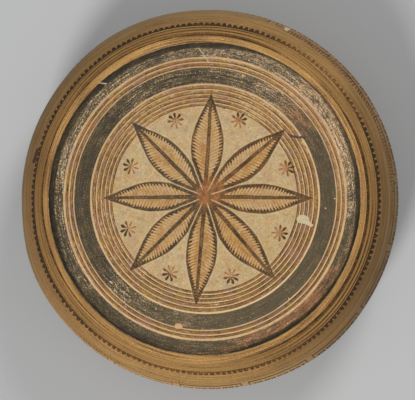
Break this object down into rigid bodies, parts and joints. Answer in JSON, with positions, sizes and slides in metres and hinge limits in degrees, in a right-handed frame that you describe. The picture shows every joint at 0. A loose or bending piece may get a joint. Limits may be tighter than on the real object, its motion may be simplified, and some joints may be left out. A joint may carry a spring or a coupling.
{
  "type": "pyxis",
  "caption": "Wide, low round box of painted fired clay without its lid, standing mouth down, with a hollow underside inside a narrow resting ring.",
  "frame": {"origin": "middle of the lip's plane, on which the box stands mouth down", "axes": "+Z along the wheel's axis, up through the painted underside; +X and +Y to the picture's right and top"},
  "size_m": [0.27, 0.27, 0.097],
  "materials": {
    "painted_clay": "matt fired clay with worn dark brown paint"
  },
  "bodies": {
    "root": {"pyxis_body": "painted_clay"}
  },
  "joints": []
}
